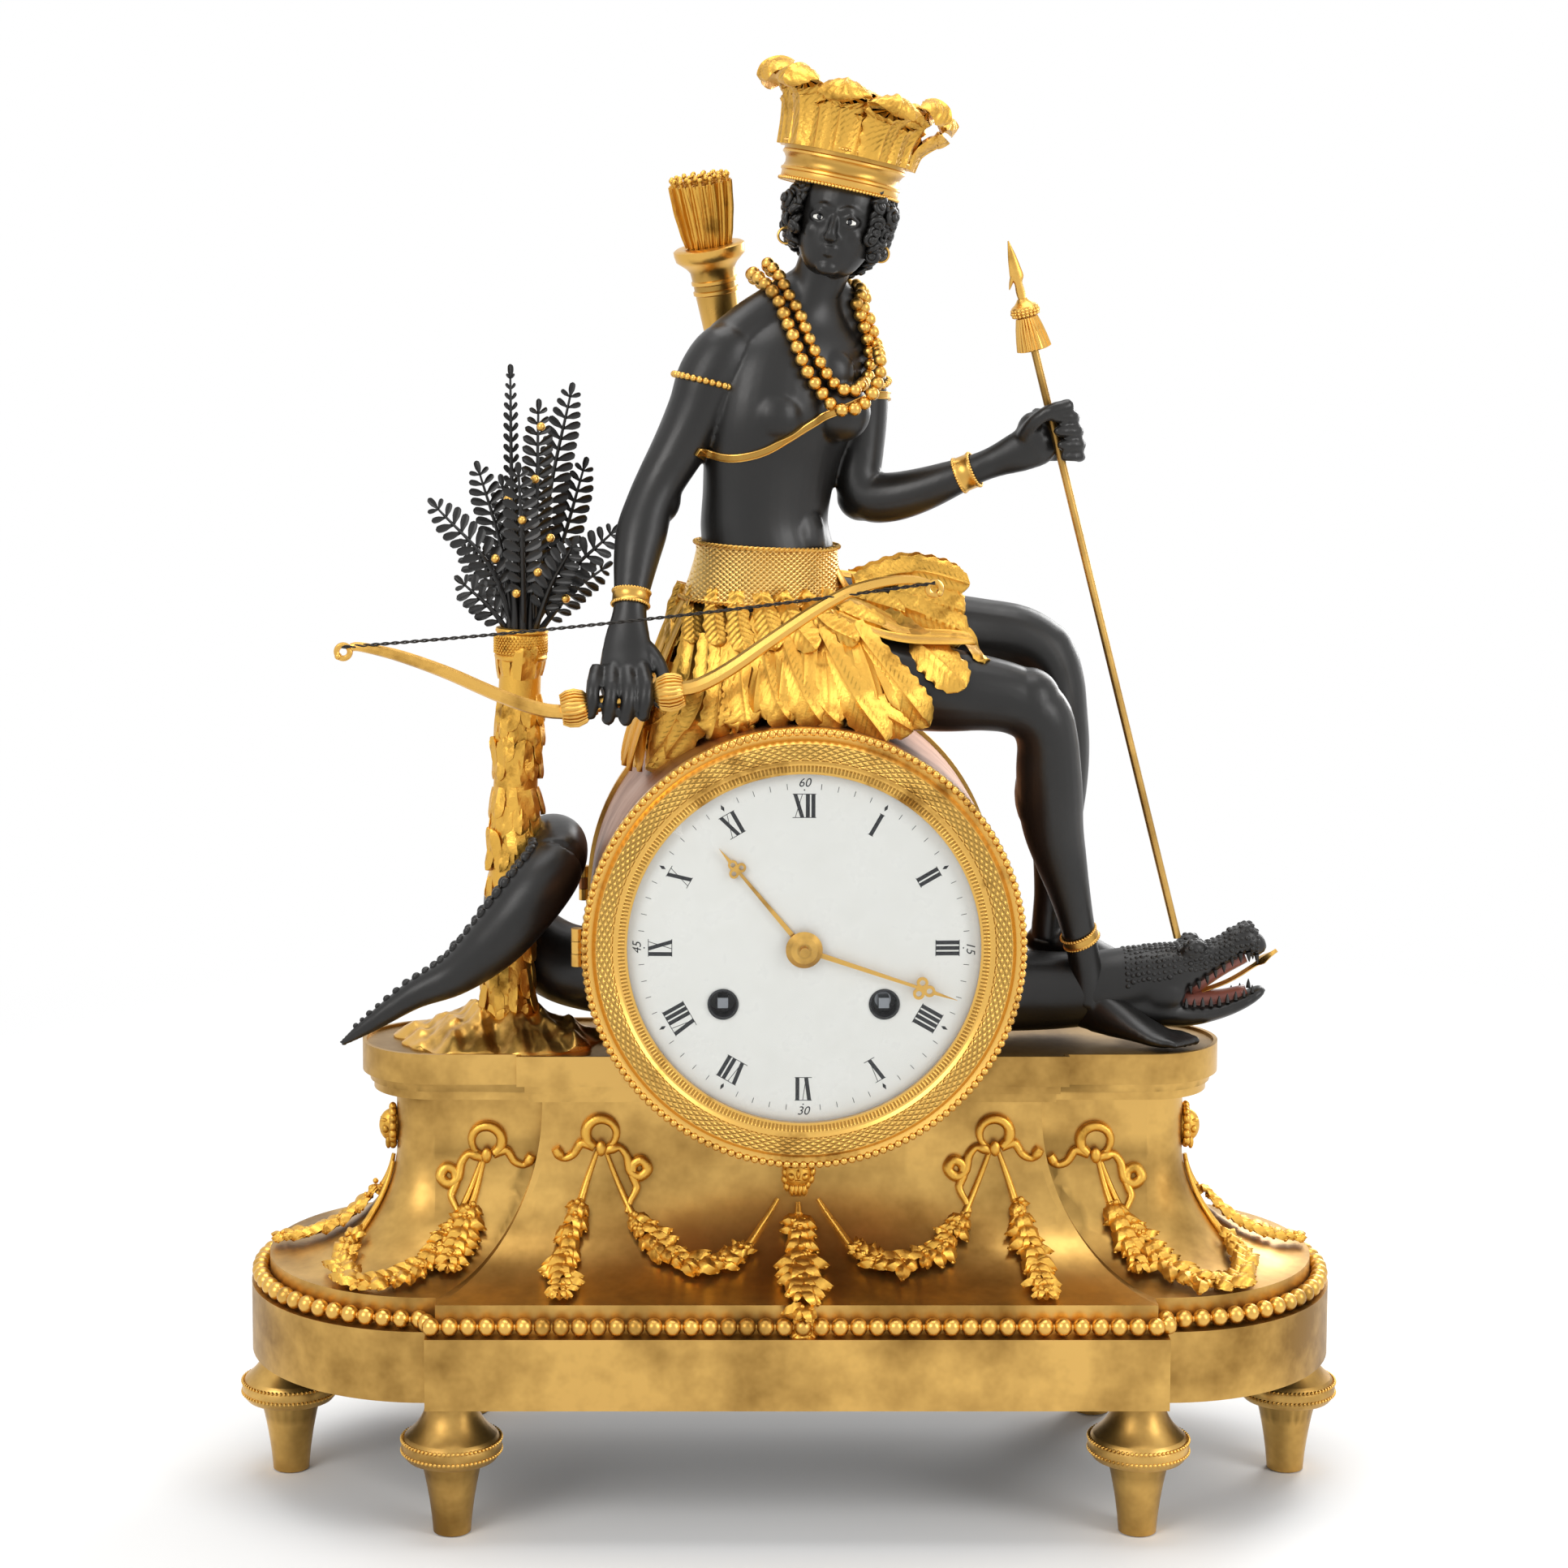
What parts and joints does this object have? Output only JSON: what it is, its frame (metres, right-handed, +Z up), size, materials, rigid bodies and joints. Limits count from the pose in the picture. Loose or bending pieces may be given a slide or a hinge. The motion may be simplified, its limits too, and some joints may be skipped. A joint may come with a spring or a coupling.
{
  "type": "figural mantel clock",
  "caption": "Mantel clock with a seated figure on a drum case, palm and reptile on an oblong gilt base, with a two-train movement, hinged bezel and rear door.",
  "frame": {"origin": "centre of the ground rectangle of the feet, on the surface that the feet stand on", "axes": "+X to the viewer's right along the base, +Y from the dial side to the back, +Z up"},
  "size_m": [0.3682, 0.1425, 0.4737],
  "materials": {
    "gilt_bronze": "polished and matted fire gilding",
    "dark_bronze": "dark brown patina, lightly waxed",
    "red_bronze": "red-brown patina",
    "movement_brass": "satin",
    "steel": "satin",
    "dial_enamel": "gloss",
    "clear_glass": "clear",
    "iron": "plain",
    "bell_metal": "satin"
  },
  "bodies": {
    "clock": {"base_skirt": "gilt_bronze", "base_plate": "iron", "base_body": "gilt_bronze", "platform": "gilt_bronze", "bead_border": "gilt_bronze", "base_bolts": "iron", "front_feet": "gilt_bronze", "end_feet": "gilt_bronze", "rear_feet": "gilt_bronze", "front_garlands": "gilt_bronze", "end_garlands": "gilt_bronze", "drum_case": "red_bronze", "front_ring": "gilt_bronze", "dial": "dial_enamel", "back_ring": "gilt_bronze", "drum_straps": "steel", "front_plate": "movement_brass", "back_plate": "movement_brass", "bell": "bell_metal", "figure_torso": "dark_bronze", "figure_head": "dark_bronze", "arm_right": "dark_bronze", "arm_left": "dark_bronze", "leg_right": "dark_bronze", "leg_left": "dark_bronze", "crown_band": "gilt_bronze", "crown_feathers": "gilt_bronze", "earrings": "gilt_bronze", "necklace": "gilt_bronze", "bangles": "gilt_bronze", "belt": "gilt_bronze", "feather_skirt": "gilt_bronze", "quiver": "gilt_bronze", "bow": "gilt_bronze", "bow_string": "gilt_bronze", "spear": "gilt_bronze", "caiman_forepart": "dark_bronze", "palm_trunk": "gilt_bronze", "caiman_tail": "dark_bronze", "palm_fronds": "dark_bronze", "ground_mound": "gilt_bronze"},
    "minute_arbor": {"centre_wheel": "movement_brass", "minute_hand": "gilt_bronze"},
    "hour_pipe": {"hour_wheel": "movement_brass", "hour_hand": "gilt_bronze"},
    "motion_wheel": {"minute_wheel": "movement_brass"},
    "second_arbor": {"second_wheel": "movement_brass"},
    "going_barrel_body": {"going_barrel": "movement_brass"},
    "going_square": {"going_arbor": "steel"},
    "third_arbor": {"third_wheel": "movement_brass"},
    "escape_arbor": {"escape_wheel": "movement_brass"},
    "pallets": {"anchor": "steel"},
    "pendulum_body": {"pendulum": "movement_brass"},
    "strike_barrel_body": {"strike_barrel": "movement_brass"},
    "strike_square": {"strike_arbor": "steel"},
    "pin_arbor": {"pin_wheel": "movement_brass"},
    "hammer_arbor": {"hammer": "steel"},
    "bezel_door": {"bezel": "gilt_bronze", "bezel_glass": "clear_glass"},
    "rear_door": {"back_door": "gilt_bronze"}
  },
  "joints": [
    {"name": "minute_turn", "type": "hinge", "parent": "clock", "child": "minute_arbor", "pos_m": [0.002, 0, 0.1905], "axis": [0, 1, 0], "continuous": true},
    {"name": "hour_turn", "type": "hinge", "parent": "clock", "child": "hour_pipe", "pos_m": [0.002, 0, 0.1905], "axis": [0, 1, 0], "continuous": true},
    {"name": "motion_turn", "type": "hinge", "parent": "clock", "child": "motion_wheel", "pos_m": [0.008, 0, 0.20089], "axis": [0, 1, 0], "continuous": true},
    {"name": "second_turn", "type": "hinge", "parent": "clock", "child": "second_arbor", "pos_m": [0.0226, 0, 0.19458], "axis": [0, 1, 0], "continuous": true},
    {"name": "going_barrel_turn", "type": "hinge", "parent": "clock", "child": "going_barrel_body", "pos_m": [0.0274, 0, 0.1726], "axis": [0, 1, 0], "continuous": true},
    {"name": "third_turn", "type": "hinge", "parent": "clock", "child": "third_arbor", "pos_m": [-0.00624, 0, 0.20817], "axis": [0, 1, 0], "continuous": true},
    {"name": "escape_turn", "type": "hinge", "parent": "clock", "child": "escape_arbor", "pos_m": [0.002, 0, 0.22367], "axis": [0, 1, 0], "continuous": true},
    {"name": "going_winding", "type": "hinge", "parent": "clock", "child": "going_square", "pos_m": [0.0274, 0, 0.1726], "axis": [0, 1, 0], "continuous": true},
    {"name": "strike_barrel_turn", "type": "hinge", "parent": "clock", "child": "strike_barrel_body", "pos_m": [-0.0234, 0, 0.1726], "axis": [0, 1, 0], "continuous": true},
    {"name": "pin_wheel_turn", "type": "hinge", "parent": "clock", "child": "pin_arbor", "pos_m": [-0.03183, 0, 0.19346], "axis": [0, 1, 0], "continuous": true},
    {"name": "strike_winding", "type": "hinge", "parent": "clock", "child": "strike_square", "pos_m": [-0.0234, 0, 0.1726], "axis": [0, 1, 0], "continuous": true},
    {"name": "pendulum_swing", "type": "hinge", "parent": "clock", "child": "pendulum_body", "pos_m": [0.002, 0, 0.2373], "axis": [0, 1, 0], "range_deg": [-3, 3]},
    {"name": "anchor_rock", "type": "hinge", "parent": "clock", "child": "pallets", "pos_m": [0.002, 0, 0.2373], "axis": [0, 1, 0], "range_deg": [-3, 3]},
    {"name": "hammer_lift", "type": "hinge", "parent": "clock", "child": "hammer_arbor", "pos_m": [-0.0435, 0, 0.2045], "axis": [0, 1, 0], "range_deg": [0, 10], "stiffness_Nm_per_rad": 0.02},
    {"name": "bezel_hinge", "type": "hinge", "parent": "clock", "child": "bezel_door", "pos_m": [-0.0694, -0.0573, 0.1905], "axis": [0, 0, -1], "range_deg": [0, 110]},
    {"name": "rear_door_hinge", "type": "hinge", "parent": "clock", "child": "rear_door", "pos_m": [-0.0698, 0.0501, 0.1905], "axis": [0, 0, 1], "range_deg": [0, 110]}
  ],
  "couplings": [
    {"joint": "hour_turn", "follows": "minute_turn", "ratio": 0.083333},
    {"joint": "motion_turn", "follows": "minute_turn", "ratio": -0.33333},
    {"joint": "second_turn", "follows": "minute_turn", "ratio": -0.16667},
    {"joint": "going_barrel_turn", "follows": "minute_turn", "ratio": 0.020833},
    {"joint": "third_turn", "follows": "minute_turn", "ratio": -12},
    {"joint": "escape_turn", "follows": "minute_turn", "ratio": 144},
    {"joint": "pin_wheel_turn", "follows": "strike_barrel_turn", "ratio": -8},
    {"joint": "anchor_rock", "follows": "pendulum_swing", "ratio": 1}
  ]
}
